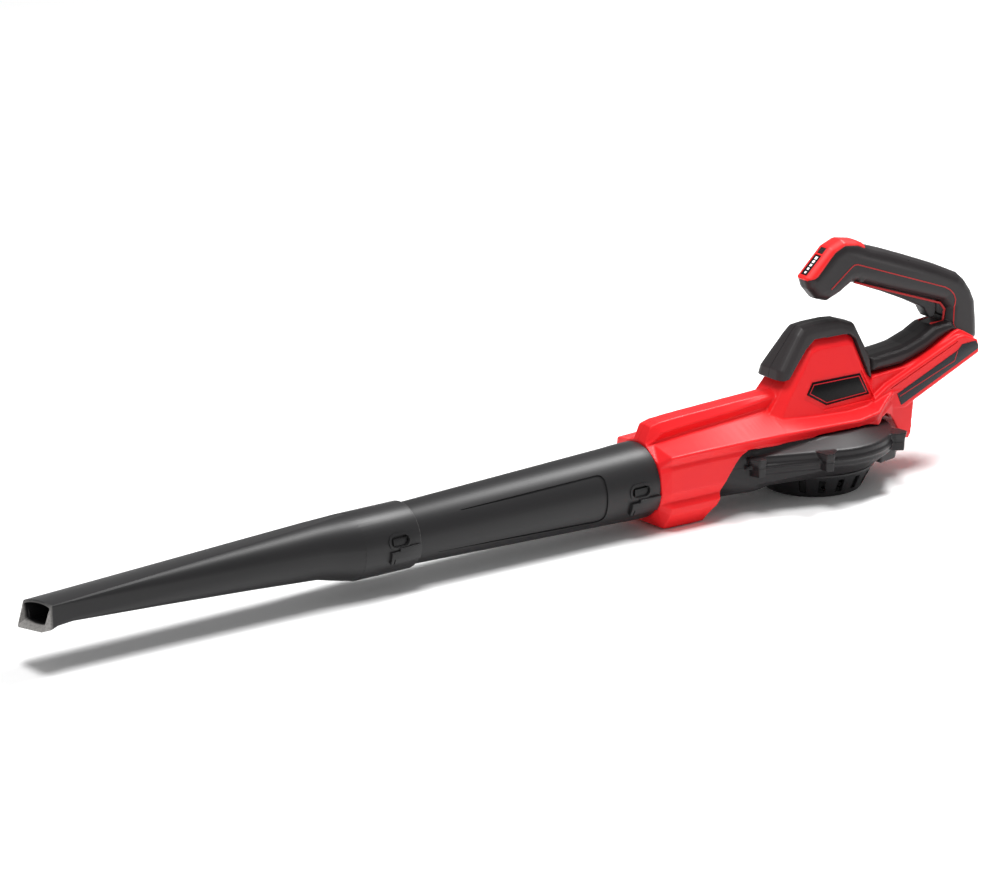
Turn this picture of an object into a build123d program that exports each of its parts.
"""Cordless leaf blower: radial fan, twist-on tube and nozzle, open hoop handle, slide-in battery foot.

Millimetres, +Z up. The origin is the middle of the intake guard's flat underside, on the fan's axis.
The air tube points to -X, and the casing halves meet on the plane y = 0.
"""
from build123d import *
import os
from math import atan2, cos, degrees, radians, sin

os.makedirs("parts", exist_ok=True)

# ------------------------------------------------------------------ driving dimensions
AXIS_Z = 48.0          # height of the air tube's axis
SPLIT_Z = 50.0         # joint plane of the two fan casings
WALL = 2.5             # moulded wall
GAP = 0.2              # moulding gap between neighbouring casings
FRONT_X = -229.0       # front face of the red housing
NOZZLE_X = -518.0      # rear edge of the nozzle's collar
MOUTH_X = -929.0       # front edge of the nozzle's upper lip
BAND_R = 82.0          # fan casing radius
IMPELLER_R = 56.0
SHAFT_R = 4.0
SPIGOT_R = 35.4        # outlet spigot that carries the tube
SLIP = 0.35            # play of a tube on its spigot
LATCH_BACK = 24.0      # latch window's centre, measured from the collar's edge
LUG_LENGTH = 16.0
LUG_HEIGHT = 9.0
UNLOCK_TURN = 25.0     # twist from the locked window to the entry channel
NOZZLE_ROLL = 9.0      # roll of the nozzle's flats about the tube's axis
GRIP_HALF = 16.0       # half width of the handle
FOOT_HALF = 32.0       # half width of the battery foot
TRIGGER_PIVOT = (50.0, 212.5)
MIN = Align.MIN
MID = Align.CENTER


# ------------------------------------------------------------------ shape helpers
def outline_face(points):
    return make_face(Polyline(*points, close=True).edges())


def inset(points, distance):
    """Mitred copy of a closed outline, moved inwards by distance."""
    area = sum(a[0] * b[1] - b[0] * a[1] for a, b in zip(points, points[1:] + points[:1]))
    side = distance if area > 0 else -distance
    moved = []
    for before, here, after in zip(points[-1:] + points[:-1], points, points[1:] + points[:1]):
        enter = Vector(here[0] - before[0], here[1] - before[1]).normalized()
        leave = Vector(after[0] - here[0], after[1] - here[1]).normalized()
        scale = side / (1 + enter.dot(leave))
        moved.append((here[0] - (enter.Y + leave.Y) * scale, here[1] + (enter.X + leave.X) * scale))
    return moved


def slab(points, half_width):
    """Side outline of (x, z) points, thickened both ways along Y."""
    return extrude(Plane.XZ * outline_face(points), amount=half_width, both=True)


def turned_z(points):
    """Closed (radius, z) profile turned about the fan's axis."""
    return revolve(Plane.XZ * outline_face(points), axis=Axis.Z)


def turned_x(points):
    """Closed (x, radius) profile turned about the air tube's axis."""
    profile = outline_face([(x, AXIS_Z + r) for x, r in points])
    return revolve(Plane.XZ * profile, axis=Axis((0, 0, AXIS_Z), (1, 0, 0)))


def disc(radius, low, high, x=0.0, y=0.0):
    return Pos(x, y, low) * Cylinder(radius, high - low, align=(MID, MID, MIN))


def cross_rod(radius, x, z, low, high):
    """Cylinder along Y from y = low to y = high."""
    return Pos(x, low, z) * Rot(-90, 0, 0) * Cylinder(radius, high - low, align=(MID, MID, MIN))


def air_rod(radius, low, high):
    """Cylinder on the air tube's axis from x = low to x = high."""
    return Pos(low, 0, AXIS_Z) * Rot(0, 90, 0) * Cylinder(radius, high - low, align=(MID, MID, MIN))


def block(x, y, z):
    """Box between the given (low, high) pairs."""
    size = Box(x[1] - x[0], y[1] - y[0], z[1] - z[0])
    return Pos((x[0] + x[1]) / 2, (y[0] + y[1]) / 2, (z[0] + z[1]) / 2) * size


LEFT_SIDE = block((-1200, 400), (-200, 0), (-100, 400))
RIGHT_SIDE = block((-1200, 400), (0, 200), (-100, 400))


def rolled(shape, angle):
    """Shape turned about the air tube's axis, its -Y side going up."""
    return Pos(0, 0, AXIS_Z) * Rot(-angle, 0, 0) * Pos(0, 0, -AXIS_Z) * shape


def wedges(x, low, high):
    """Two opposite wedges about the tube's axis; angles start at -Y and go up."""
    reach = 80.0
    pair = []
    for side in (1, -1):
        arc = [(0, 0)]
        for angle in (low, (low + high) / 2, high):
            arc.append((-side * reach * cos(radians(angle)), side * reach * sin(radians(angle))))
        face = Plane.YZ.offset(x[0]) * Pos(0, AXIS_Z) * outline_face(arc)
        pair.append(extrude(face, amount=x[1] - x[0]))
    return pair[0] + pair[1]


def window_prism(x, length, height):
    """Oval bar through both sides of a collar."""
    face = Plane.XZ * Pos(x, AXIS_Z) * SlotOverall(length, height)
    return extrude(face, amount=60, both=True)


def lug_pair(edge_x, inner_r, outer_r):
    """Two bayonet lugs that stand on a spigot, centred LATCH_BACK in front of the collar's edge."""
    middle = edge_x - LATCH_BACK
    x = (middle - LUG_LENGTH / 2, middle + LUG_LENGTH / 2)
    bar = block(x, (-60, 60), (AXIS_Z - LUG_HEIGHT / 2, AXIS_Z + LUG_HEIGHT / 2))
    return (air_rod(outer_r, *x) - air_rod(inner_r, *x)) & bar


def latched_collar(collar, edge_x, bore_r, outer_r, lug_r):
    """Bayonet collar: oval windows, the lugs' inner track, and raised entry channels below them."""
    middle = edge_x - LATCH_BACK
    track = (middle - LUG_LENGTH / 2 - 0.5, middle + LUG_LENGTH / 2 + 0.5)
    entry = (track[0], edge_x)
    track_r = lug_r + 0.4
    lug_angle = degrees(atan2(LUG_HEIGHT / 2 + 1.0, bore_r))
    channel = air_rod(outer_r + 2.6, *entry) - air_rod(outer_r - 0.4, *entry)
    channel = channel & wedges(entry, -UNLOCK_TURN - lug_angle - 2, -UNLOCK_TURN + lug_angle + 2)
    rim = air_rod(outer_r + 0.9, track[0] - 6, edge_x) & window_prism(middle, 24, 16)
    rim -= air_rod(outer_r - 0.3, track[0] - 8, edge_x)
    body = collar + channel + rim
    body -= window_prism(middle, 20, 12)
    body -= air_rod(track_r, *track) & wedges(track, -UNLOCK_TURN - lug_angle, lug_angle)
    body -= air_rod(track_r, *entry) & wedges(entry, -UNLOCK_TURN - lug_angle, -UNLOCK_TURN + lug_angle)
    return body


# ------------------------------------------------------------------ red housing
RIDGE_HALF = 11.0
SIDE_LINE = [(-229, 8), (-214, 0), (-165, 0), (-163, 24), (-157, 28), (-150, 37), (-143, 47),
             (-136, 57.5), (-130, 64), (-118, 69), (-80, 68), (-39, 66.4), (6, 65), (33, 65.4),
             (51, 68), (57.5, 71.5), (67, 71.7), (78.6, 64.4), (85, 50), (97, 39), (112, 34),
             (117, 72), (117, 140), (-229, 140)]
# x, ridge top, shoulder half width and height, crease half width and height
STATIONS = [(-229, 87, 18, 84, 38, 66), (-219, 103, 19, 96, 45, 74), (-110, 108.5, 19, 98, 47.5, 78),
            (-50, 111, 26, 96, 50, 79.5), (29, 111, 29, 93, 57, 78.5), (58, 110, 30, 93, 47, 88),
            (112, 106, 31, 96, 37, 88), (117, 104, 31, 94, 36, 86)]


def body_section(station, wall):
    x, ridge, shoulder_y, shoulder_z, crease_y, crease_z = station
    half = [(RIDGE_HALF - wall / 2, ridge - wall), (RIDGE_HALF + 1.5 - wall / 2, ridge - 5 - wall),
            (shoulder_y - wall / 2, shoulder_z - wall), (crease_y - wall, crease_z - wall / 2),
            (crease_y - wall, 26.0), (crease_y - 1 - wall, 19.0), (crease_y - 14 - wall, wall)]
    mirrored = [(-y, z) for y, z in reversed(half)]
    return Plane.YZ.offset(x) * outline_face(half + mirrored)


def body_loft(wall):
    stations = list(STATIONS)
    if wall:
        first = STATIONS[0]
        stations[0] = (first[0] + wall,) + first[1:]
        stations[-1] = (STATIONS[-1][0] - wall,) + STATIONS[-1][1:]
    return loft([body_section(station, wall) for station in stations], ruled=True)


HUMP_LINE = [(-76, 96), (-75, 106), (-61, 124), (-59, 134), (-33, 166), (-26, 173), (24, 173),
             (44, 166), (56, 140), (61, 128), (60, 100), (60, 80), (-66, 80)]
PANEL_LINE = [(-66, 80), (-74, 97), (-74, 104), (-52.2, 127.9), (-23.9, 155.2), (-16, 156.8),
              (32.1, 155.5), (38.1, 151.5), (53, 112.6), (58.8, 107.7), (60, 80)]
HUMP_HALF = 21.0       # half width at HUMP_REF_Z
HUMP_REF_Z = 131.0
HUMP_SLOPE = 1 / 6


def hump_wedge(grow):
    """Prism with the hump's leaning sides and crowned top."""
    low, high = 60.0, 165.5
    half = [(HUMP_HALF + (HUMP_REF_Z - z) * HUMP_SLOPE + grow, z) for z in (low, high)]
    half += [(9 + grow / 2, 171.0 + grow), (3, 172.8 + grow)]
    face = outline_face(half + [(-y, z) for y, z in reversed(half)])
    return extrude(Plane.YZ.offset(-90) * face, amount=170)


FOOT_LINE = [(56, 88), (58, 108), (61, 109), (102, 111.4), (134, 120), (169, 137.3), (176.5, 139),
             (183.5, 135.6), (197, 127.8), (197.6, 112.5), (110, 76.4), (97, 71), (60, 72)]
FOOT_START = (97.0, 71.0)
FOOT_END = (197.6, 112.5)
FOOT_SLOPE = atan2(FOOT_END[1] - FOOT_START[1], FOOT_END[0] - FOOT_START[0])
FOOT_PLANE = Plane(origin=(FOOT_START[0], 0, FOOT_START[1]), x_dir=(cos(FOOT_SLOPE), 0, sin(FOOT_SLOPE)),
                   z_dir=(-sin(FOOT_SLOPE), 0, cos(FOOT_SLOPE)))
RAIL_MOUTH = 22.0      # half width between the battery rails
RAIL_SLOT = 26.0       # half width behind the rails
RAIL_LIP = 3.5
RAIL_DEPTH = 9.5


def foot_block(along, half, depth):
    """Box in the slanted battery face's own directions."""
    return FOOT_PLANE * block(along, (-half, half), depth)


HOUSING_POSTS = [(-188, 6.2, 20), (-190, 92, 14), (-92, 96, 14), (-42, 118, 14), (44, 118, 14),
                 (128, 109, 22), (178, 129, 22)]


def housing_outer():
    body = body_loft(0) & slab(SIDE_LINE, 70)
    hump = slab(PANEL_LINE, 40) & hump_wedge(0)
    return body + hump + slab(FOOT_LINE, FOOT_HALF)


def housing_core():
    body = body_loft(WALL)
    hump = slab([(x * 0.94, z - 2.0) for x, z in PANEL_LINE], 40) & hump_wedge(-WALL)
    foot = slab(inset(FOOT_LINE, WALL), FOOT_HALF - WALL)
    foot -= foot_block((-20, 130), 40, (-20, RAIL_DEPTH + WALL))
    under_cap = slab([(-50, 100), (-50, 127), (-22, 158), (34, 158), (50, 112), (50, 100)], 15)
    return body + hump + foot + under_cap


def make_housing(scroll_space):
    outer = housing_outer()
    shell = outer - housing_core()
    for x, z, _ in HOUSING_POSTS:
        shell += cross_rod(4.0, x, z, -60, 60) & outer
    shell -= air_rod(SPIGOT_R + 0.3, FRONT_X - 5, FRONT_X + 40)
    shell -= foot_block((8, 130), RAIL_MOUTH, (-1, RAIL_LIP))
    shell -= foot_block((8, 130), RAIL_SLOT, (RAIL_LIP, RAIL_DEPTH))
    shell -= scroll_space
    for x, z, reach in HOUSING_POSTS:
        shell -= cross_rod(1.65, x, z, -reach, reach)
        shell -= cross_rod(3.1, x, z, reach, 60)
    return shell


def screw_group(places):
    group = []
    for x, z, reach in places:
        screw = cross_rod(1.6, x, z, -reach + 4, reach) + cross_rod(3.0, x, z, reach, reach + 2.2)
        screw -= Pos(x, reach + 1.4, z) * Box(4, 1.8, 0.9)
        group.append(screw)
    return Compound(group)


# ------------------------------------------------------------------ fan casing, guard and outlet
# x, width, height, corner radius and height of the middle
DUCT = [(-30, 88, 37, 4, 46.5), (-66, 87, 39, 6, 47), (-110, 86, 50, 8, 46), (-150, 70.8, 70.8, 35, 48)]
BOSSES = [(-112, 48.5), (-43, 75), (60, 64)]
INTAKE_R = 50.0
LOBE = [(38, -63), (62, -58), (84, -36), (84, 36), (62, 58), (38, 63)]


def duct_loft(grow):
    overrun = 0.5 if grow else 0.0
    sections = []
    for x, width, height, corner, middle in DUCT:
        size = RectangleRounded(width + 2 * grow, height + 2 * grow, max(corner + grow, 2.0))
        sections.append(Plane.YZ.offset(x - overrun) * Pos(0, middle) * size)
    return loft(sections, ruled=True)


def scroll_solid(grow):
    """Fan casing's volume: band, two slopes and the outlet duct; grow is negative for the inside."""
    half = [(0, 27 - grow), (64 + grow, 27 - grow), (80 + grow, 42 - grow / 2), (BAND_R + grow, 43),
            (BAND_R + grow, 59), (56 + grow, 68 + grow), (0, 68 + grow)]
    return turned_z(half) + duct_loft(grow)


def scroll_bosses(grow):
    posts = []
    for x, y in BOSSES:
        for side in (-1, 1):
            posts.append(disc(7.0 + grow, 40 - grow, 59 + grow, x, side * y))
    return Compound(posts)


def make_scroll():
    cavity = scroll_solid(-2.4)
    lobe = extrude(Plane.XY.offset(29) * outline_face(LOBE), amount=13)
    solid = scroll_solid(0) + scroll_bosses(0) + lobe
    solid -= cavity
    solid -= disc(INTAKE_R, 20, 32)
    solid -= disc(24, 60, 70)
    for x, y in BOSSES:
        for side in (-1, 1):
            solid -= disc(1.65, 44, 70, x, side * y)
            solid -= disc(3.2, 39, 44, x, side * y)
    lower = solid & block((-300, 300), (-200, 200), (0, SPLIT_Z))
    upper = solid & block((-300, 300), (-200, 200), (SPLIT_Z, 120))
    return lower, upper


def make_scroll_screws():
    group = []
    for x, y in BOSSES:
        for side in (-1, 1):
            screw = disc(1.6, 44, 57, x, side * y) + disc(3.0, 41.8, 44, x, side * y)
            group.append(screw - Pos(x, side * y, 42) * Box(4, 0.9, 1.4))
    return Compound(group)


def make_guard():
    cup = turned_z([(0, 0), (50, 0), (60.5, 21), (64, 26.8), (60.8, 26.8), (57.6, 21.6), (48, 2.6), (0, 2.6)])
    slots = 24
    for index in range(slots):
        turn = Rot(0, 0, index * 360 / slots)
        cup -= turn * block((44, 70), (-2.5, 2.5), (6, 20))
    for index in range(12):
        cup -= Rot(0, 0, index * 30 + 15) * block((24, 42), (-2.2, 2.2), (-1, 4))
    return cup


def make_spigot():
    ring = turned_x([(-268, 33), (-268, SPIGOT_R), (-240.2, SPIGOT_R), (-240.2, 34.2), (-236.8, 34.2),
                     (-236.8, SPIGOT_R), (-221, SPIGOT_R), (-221, 37.5), (-218, 37.5),
                     (-218, SPIGOT_R), (-150.2, SPIGOT_R), (-150.2, 33)])
    return ring + lug_pair(FRONT_X, SPIGOT_R - 1, SPIGOT_R + 2.5)


def make_seal():
    return turned_x([(-240, 34.25), (-240, SPIGOT_R + 0.2), (-237, SPIGOT_R + 0.2), (-237, 34.25)])


# ------------------------------------------------------------------ motor and fan
MOTOR_BASE = 71.0
MOTOR_TOP = 111.0
POLES = 9


def make_impeller():
    wheel = disc(IMPELLER_R, 52, 54) + disc(12, 33, 54)
    wheel += disc(IMPELLER_R, 32, 33.6) - disc(37, 31, 35)
    for index in range(11):
        blade = Rot(0, 0, index * 360 / 11) * Pos(36, 0, 42.8) * Rot(0, 0, 38) * Box(50, 1.6, 18.6)
        wheel += (blade & disc(IMPELLER_R, 30, 54)) - disc(14, 30, 52)
    wheel += turned_z([(12, 45), (20, 52), (12, 52)])
    return wheel - disc(SHAFT_R + 0.02, 30, 56)


def make_nut():
    nut = Pos(0, 0, 29) * extrude(RegularPolygon(7, 6), amount=3.9)
    return nut - disc(SHAFT_R + 0.02, 28, 34)


def make_motor_can():
    base, top, bore = MOTOR_BASE, MOTOR_TOP, 8.02
    return turned_z([(bore, base), (21, base), (21, top), (bore, top), (bore, top - 6), (19, top - 6),
                     (19, base + 6), (bore, base + 6)])


def make_stator():
    core = disc(18.95, 79, 103) - disc(15.6, 78, 104)
    for index in range(POLES):
        core += Rot(0, 0, index * 360 / POLES) * block((11.4, 16.4), (-1.5, 1.5), (79, 103))
    return core


def make_windings():
    coils = []
    for index in range(POLES):
        turn = Rot(0, 0, (index + 0.5) * 360 / POLES)
        coils.append(turn * block((12.4, 15.2), (-2.4, 2.4), (77.5, 104.5)))
    return Compound(coils)


def make_bearing(low):
    return disc(8.0, low, low + 5) - disc(SHAFT_R + 0.05, low - 1, low + 6)


def make_motor_mount():
    plate = disc(34, 68.05, MOTOR_BASE - 0.05) - disc(9, 66, 73)
    for index in range(4):
        plate -= Rot(0, 0, 45 + 90 * index) * Pos(29, 0, 0) * disc(1.7, 66, 73)
    return plate


# ------------------------------------------------------------------ tube and nozzle
def make_tube():
    bore = SPIGOT_R + SLIP
    collar_end = FRONT_X - 33
    tip = NOZZLE_X - 46
    body = turned_x([(FRONT_X - 0.4, 39.2), (collar_end, 39.2), (collar_end - 2, 38.3), (NOZZLE_X + 1, 30.6),
                     (NOZZLE_X - 1, 30.4), (tip, 30.4), (tip, 28.4), (-272, 34.0), (-270, bore),
                     (FRONT_X - 0.4, bore)])
    body = latched_collar(body, FRONT_X - 0.4, bore, 39.2, SPIGOT_R + 2.5)
    lugs = lug_pair(NOZZLE_X, 29.8, 32.0)
    return body + rolled(lugs, NOZZLE_ROLL)


# x, width, height, corner radius, height of the middle above the tube's axis
NOZZLE_STATIONS = [(-583, 67.2, 67.2, 33.5, 0.0), (-625, 58, 57, 27.0, 0.4), (-904, 47.5, 26, 7.0, 3.6),
                   (MOUTH_X, 47.0, 24, 5.0, 3.0)]
NOZZLE_WALL = 2.0


def nozzle_loft(inset):
    sections = []
    for x, width, height, corner, middle in NOZZLE_STATIONS:
        size = RectangleRounded(width - 2 * inset, height - 2 * inset, corner - inset)
        sections.append(Plane.YZ.offset(x) * Pos(0, AXIS_Z + middle) * size)
    return loft(sections, ruled=True)


def make_nozzle():
    collar_r = NOZZLE_STATIONS[0][1] / 2
    rear = NOZZLE_X - 0.4
    collar = air_rod(collar_r, NOZZLE_STATIONS[0][0], rear) - air_rod(30.4 + SLIP, -584, rear + 1)
    collar = latched_collar(collar, rear, 30.4 + SLIP, collar_r, 32.0)
    horn = nozzle_loft(0) - nozzle_loft(NOZZLE_WALL)
    low = NOZZLE_STATIONS[-1][4] - NOZZLE_STATIONS[-1][2] / 2
    lip_x = (MOUTH_X - 10, MOUTH_X)
    lip = block(lip_x, (-21, 21), (AXIS_Z + low, AXIS_Z + low + 3.5))
    return rolled(collar + horn + lip, NOZZLE_ROLL)


# ------------------------------------------------------------------ hood cap
def make_hood(housing_solid):
    outer = slab(HUMP_LINE, 40) & hump_wedge(0)
    below = [(-80, 60), (-80, 110), (-58, 126), (-52, 127.8), (0, 150), (53, 112.6), (61, 107.7), (61, 60)]
    inside = [(-48, 100), (-48, 128), (-22, 160), (-20, 169.5), (20, 169.5), (40, 163), (52, 138),
              (56, 126), (56, 100)]
    core = slab(inside, 40) & hump_wedge(-WALL)
    return outer - slab(below, 50) - housing_solid - core


# ------------------------------------------------------------------ handle
HANDLE_LINE = [(61.2, 109.5), (61.5, 128.5), (71.8, 128.8), (97.9, 130.8), (110, 132.3), (132.3, 139.2),
               (147.8, 147), (165.5, 146), (167.7, 159.4), (161.2, 167.3), (45.7, 208), (39.1, 207.5),
               (24.6, 199.4), (8.8, 193.6), (-4.6, 198), (-15.5, 210.4), (-19.4, 221.5), (12, 250),
               (27.4, 255.5), (46.1, 252), (63.5, 243.6), (84.3, 236.8), (119.2, 223.6), (154.5, 209.6),
               (184.9, 195.6), (194, 187.9), (203.2, 175.4), (209.1, 163.3), (211.5, 143.5), (212.7, 122.5),
               (197.6, 112.5), (176.5, 130), (134, 110), (102, 104)]
TRIGGER_SLOT = [(40, 200), (40, 222), (60, 222), (152, 190), (169, 185), (169, 149), (148, 144), (140, 150)]
HANDLE_POSTS = [(24, 214, 10), (66, 229, 10), (142, 205, 10), (186, 178, 10), (196, 142, 10)]
BEZEL_LINE = [(-19.4, 221.5), (12, 250), (27.4, 255.5), (46.1, 252), (54, 248.2), (52.5, 245.2),
              (45.5, 248.4), (27.6, 251.8), (14, 246.8), (-16.8, 218.8)]
DISPLAY_PLANE = Plane(origin=(-3.7, 0, 235.75), x_dir=(0.7405, 0, 0.6721), z_dir=(-0.6721, 0, 0.7405))


def display_block(along, half, depth):
    return DISPLAY_PLANE * block(along, (-half, half), depth)


def make_handle(housing_solid):
    outer = slab(HANDLE_LINE, GRIP_HALF)
    core = slab(inset(HANDLE_LINE, WALL), GRIP_HALF - WALL)
    shell = outer - core
    for x, z, _ in HANDLE_POSTS:
        shell += cross_rod(3.6, x, z, -30, 30) & outer
    shell -= slab(TRIGGER_SLOT, 8.6)
    shell -= slab(BEZEL_LINE, 12.7)
    shell -= display_block((11, 19), 4.3, (-4, 2))
    shell -= housing_solid
    for x, z, reach in HANDLE_POSTS:
        shell -= cross_rod(1.65, x, z, -reach, reach)
        shell -= cross_rod(3.1, x, z, reach, 30)
    return shell


def make_bezel():
    rim = slab(BEZEL_LINE, 12.5)
    rim -= display_block((-17.2, 9.2), 4.7, (-6, 2))
    return rim - display_block((11.1, 18.9), 4.2, (-6, 2))


def make_leds():
    squares = []
    for index in range(5):
        side = 2.4 + 0.25 * index
        middle = -13.6 + 4.7 * index
        squares.append(display_block((middle - side / 2, middle + side / 2), side / 2, (0.05, 0.35)))
    return Compound(squares)


# ------------------------------------------------------------------ trigger and switch
TRIGGER_LINE = [(44, 208.8), (47.4, 206), (85.7, 190.6), (120.8, 175), (141, 164.5), (144.9, 157.8),
                (149, 152.3), (155.5, 152.6), (157, 160), (157, 176), (150, 184), (56, 217), (46, 217),
                (43, 213)]


def make_trigger():
    lever = slab(TRIGGER_LINE, 7.8)
    return lever - cross_rod(2.05, *TRIGGER_PIVOT, -20, 20)


def make_trigger_spring():
    turns = 6
    height = 22.0
    wire = 0.5
    path = Helix(pitch=height / turns, height=height, radius=3.6)
    start = path @ 0
    profile = Plane(origin=start, z_dir=path % 0) * Circle(wire)
    return Pos(126, 0, 194) * sweep(profile, path=path)


def make_switch():
    case = block((83, 114), (-13.3, 13.3), (211.2, 222))
    return case - disc(3.05, 208, 217, 88)


# ------------------------------------------------------------------ electrics and trim
def make_terminals():
    seat = foot_block((10, 24), 20, (RAIL_LIP + 0.2, RAIL_DEPTH - 0.2))
    for y in (-12, 0, 12):
        seat -= FOOT_PLANE * block((14, 30), (y - 0.45, y + 0.45), (4.4, 8.6))
    return seat


def make_contacts():
    return Compound([FOOT_PLANE * block((14.2, 34), (y - 0.4, y + 0.4), (4.5, 8.5)) for y in (-12, 0, 12)])


def make_controller():
    board = block((-28, 32), (-0.8, 0.8), (120, 150))
    board += cross_rod(5.5, -12, 138, 0.8, 12)
    board += cross_rod(5.5, 2, 138, 0.8, 12)
    for x in (12, 20, 28):
        board += block((x - 2.5, x + 2.5), (-4.5, -0.8), (124, 132))
    return board


def make_leads():
    leads = []
    for y in (-5, 5):
        path = FilletPolyline((116, y, 99), (96, y, 97), (72, y, 94), (48, y, 104), (36, y, 119), radius=8)
        tangent = path % 0
        leads.append(sweep(Plane(origin=path @ 0, z_dir=tangent) * Circle(1.2), path=path))
    return Compound(leads)


BADGE_LINE = [(-22, 116.3), (41.6, 115.5), (51.8, 91.6), (-8.5, 91), (-29.1, 103.5)]
TRIM_LINE = [(87.5, 88.5), (91.5, 76), (193.5, 116.8), (192.8, 122.6), (178, 126.4)]
GRIP_SEAM = [(9, 207.8), (38.4, 229.5), (165.3, 182.8), (176.4, 170.4), (173.8, 140)]


def side_plates(line, low, high):
    return slab(line, high) - slab(line, low)


def seam_plates():
    """Thin coloured cord line let into both sides of the grip."""
    strip = Plane.XZ * trace(Polyline(*GRIP_SEAM), line_width=1.4)
    return extrude(strip, amount=GRIP_HALF + 0.4, both=True) - extrude(strip, amount=GRIP_HALF, both=True)


# ------------------------------------------------------------------ assembly
NODES = {}
scroll_space = scroll_solid(GAP) + scroll_bosses(GAP + 0.3)
housing_solid = housing_outer()
housing = make_housing(scroll_space)
NODES["housing_left"] = housing & LEFT_SIDE
NODES["housing_right"] = housing & RIGHT_SIDE
NODES["housing_screws"] = screw_group(HOUSING_POSTS)
NODES["hood_cap"] = make_hood(housing_solid)
handle = make_handle(housing_solid)
NODES["handle_left"] = handle & LEFT_SIDE
NODES["handle_right"] = handle & RIGHT_SIDE
NODES["handle_screws"] = screw_group(HANDLE_POSTS)
NODES["control_bezel"] = make_bezel()
NODES["display_window"] = display_block((-17, 9), 4.5, (-1.4, 0))
NODES["charge_leds"] = make_leds()
NODES["display_board"] = display_block((-18, 17), 9, (-8, -6.6))
NODES["power_button"] = display_block((11.4, 18.6), 3.9, (-2.4, 0.9))
NODES["scroll_lower"], NODES["scroll_upper"] = make_scroll()
NODES["scroll_screws"] = make_scroll_screws()
NODES["intake_guard"] = make_guard()
NODES["outlet_spigot"] = make_spigot()
NODES["spigot_seal"] = make_seal()
NODES["motor_mount"] = make_motor_mount()
NODES["motor_can"] = make_motor_can()
NODES["stator_core"] = make_stator()
NODES["stator_windings"] = make_windings()
NODES["bearing_lower"] = make_bearing(MOTOR_BASE + 0.5)
NODES["bearing_upper"] = make_bearing(MOTOR_TOP - 5.5)
NODES["motor_shaft"] = disc(SHAFT_R, 28.5, 116)
NODES["rotor_magnets"] = disc(10.6, 79, 103) - disc(SHAFT_R + 0.02, 78, 104)
NODES["impeller"] = make_impeller()
NODES["impeller_nut"] = make_nut()
NODES["trigger"] = make_trigger()
NODES["trigger_pin"] = cross_rod(2.0, *TRIGGER_PIVOT, -13.4, 13.4)
NODES["trigger_spring"] = make_trigger_spring()
NODES["trigger_switch"] = make_switch()
NODES["switch_plunger"] = disc(3.0, 207.2, 213, 88)
NODES["battery_terminals"] = make_terminals()
NODES["battery_contacts"] = make_contacts()
NODES["controller_board"] = make_controller()
NODES["battery_leads"] = make_leads()
badges = (slab(BADGE_LINE, 60) & hump_wedge(1.0)) - hump_wedge(0) - housing_solid
NODES["badge_left"] = badges & LEFT_SIDE
NODES["badge_right"] = badges & RIGHT_SIDE
trims = side_plates(TRIM_LINE, FOOT_HALF, FOOT_HALF + 0.8) - housing_solid
NODES["side_trim_left"] = trims & LEFT_SIDE
NODES["side_trim_right"] = trims & RIGHT_SIDE
seams = seam_plates()
NODES["grip_seam_left"] = seams & LEFT_SIDE
NODES["grip_seam_right"] = seams & RIGHT_SIDE
NODES["blower_tube"] = make_tube()
NODES["nozzle"] = make_nozzle()

for name, shape in NODES.items():
    export_step(shape, f"parts/{name}.step")
